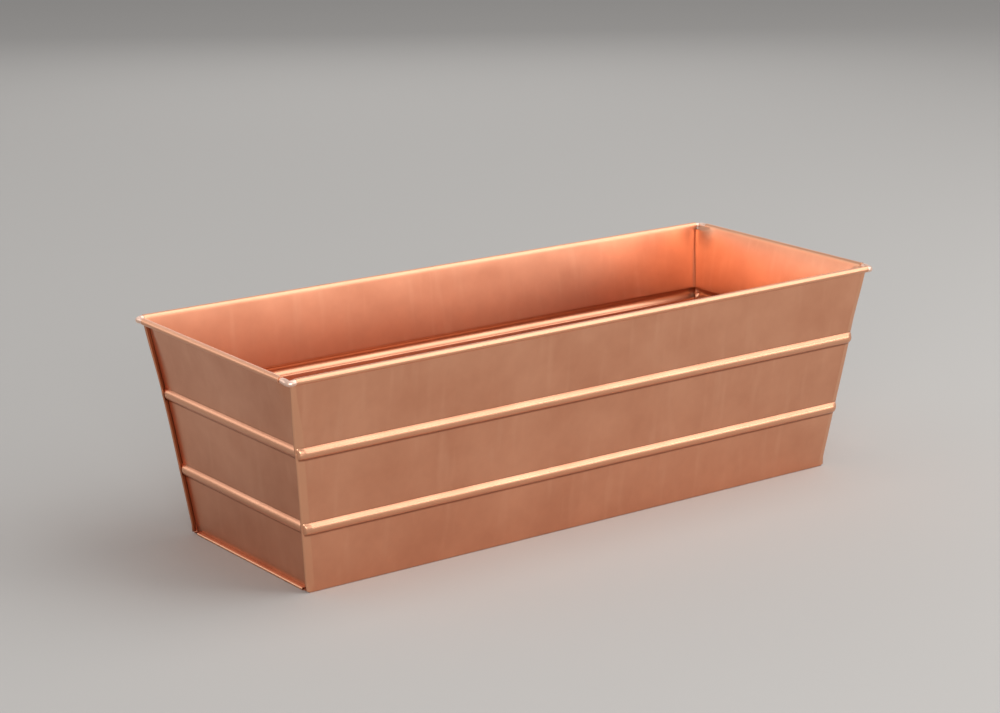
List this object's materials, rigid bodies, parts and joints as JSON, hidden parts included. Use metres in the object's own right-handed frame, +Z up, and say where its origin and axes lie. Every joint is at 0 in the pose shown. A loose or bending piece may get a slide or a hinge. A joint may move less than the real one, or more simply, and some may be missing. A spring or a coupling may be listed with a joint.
{
  "type": "window box planter",
  "caption": "Tapered rectangular window box planter in copper-plated sheet steel, with pressed beads, standing end seams and a wired rim.",
  "frame": {"origin": "on the ground under the middle of the box", "axes": "+X along the box, +Y from the front wall to the back wall, +Z up"},
  "size_m": [0.6148, 0.2386, 0.188],
  "materials": {
    "copper_plated_sheet": "satin copper plate on sheet steel",
    "copper_plated_wire": "copper plate on drawn steel wire"
  },
  "bodies": {
    "root": {"body_sheet": "copper_plated_sheet", "left_end_panel": "copper_plated_sheet", "right_end_panel": "copper_plated_sheet", "rim_wire": "copper_plated_wire"}
  },
  "joints": []
}
